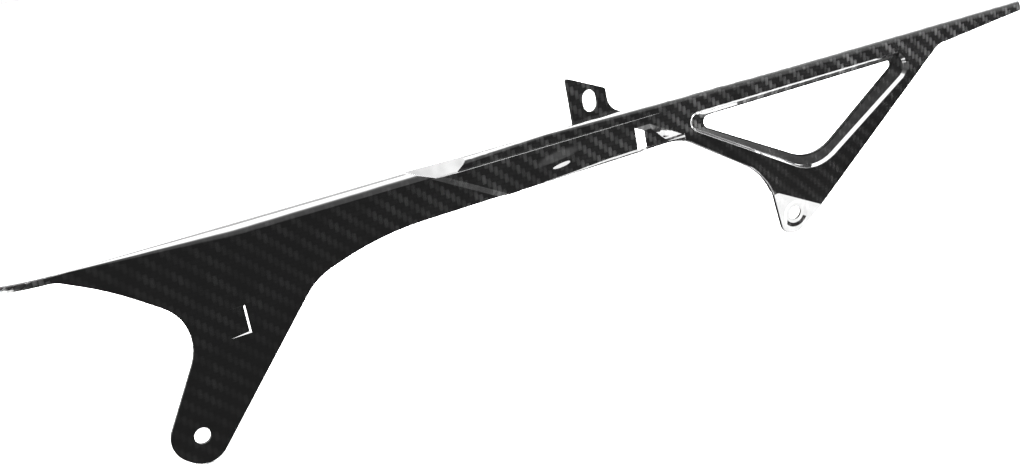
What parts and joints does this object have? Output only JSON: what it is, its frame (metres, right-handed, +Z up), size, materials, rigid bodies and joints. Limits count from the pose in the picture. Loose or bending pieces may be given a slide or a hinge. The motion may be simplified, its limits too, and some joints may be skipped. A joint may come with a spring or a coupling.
{
  "type": "motorcycle chain guard",
  "caption": "Slim carbon-fibre motorcycle chain guard: a long angle-section rail with a bolt-on leg, an open triangular strut frame and a slotted tab, covering the chain's upper run.",
  "frame": {"origin": "centre of the leg's bolt hole, on the leg's outer face", "axes": "+X along the guard to its tapered end, +Y inboard to the chain, +Z up"},
  "size_m": [0.495, 0.0258, 0.1045],
  "materials": {
    "laminate": "clear-coated twill carbon laminate"
  },
  "bodies": {
    "root": {"chain_guard": "laminate"}
  },
  "joints": []
}
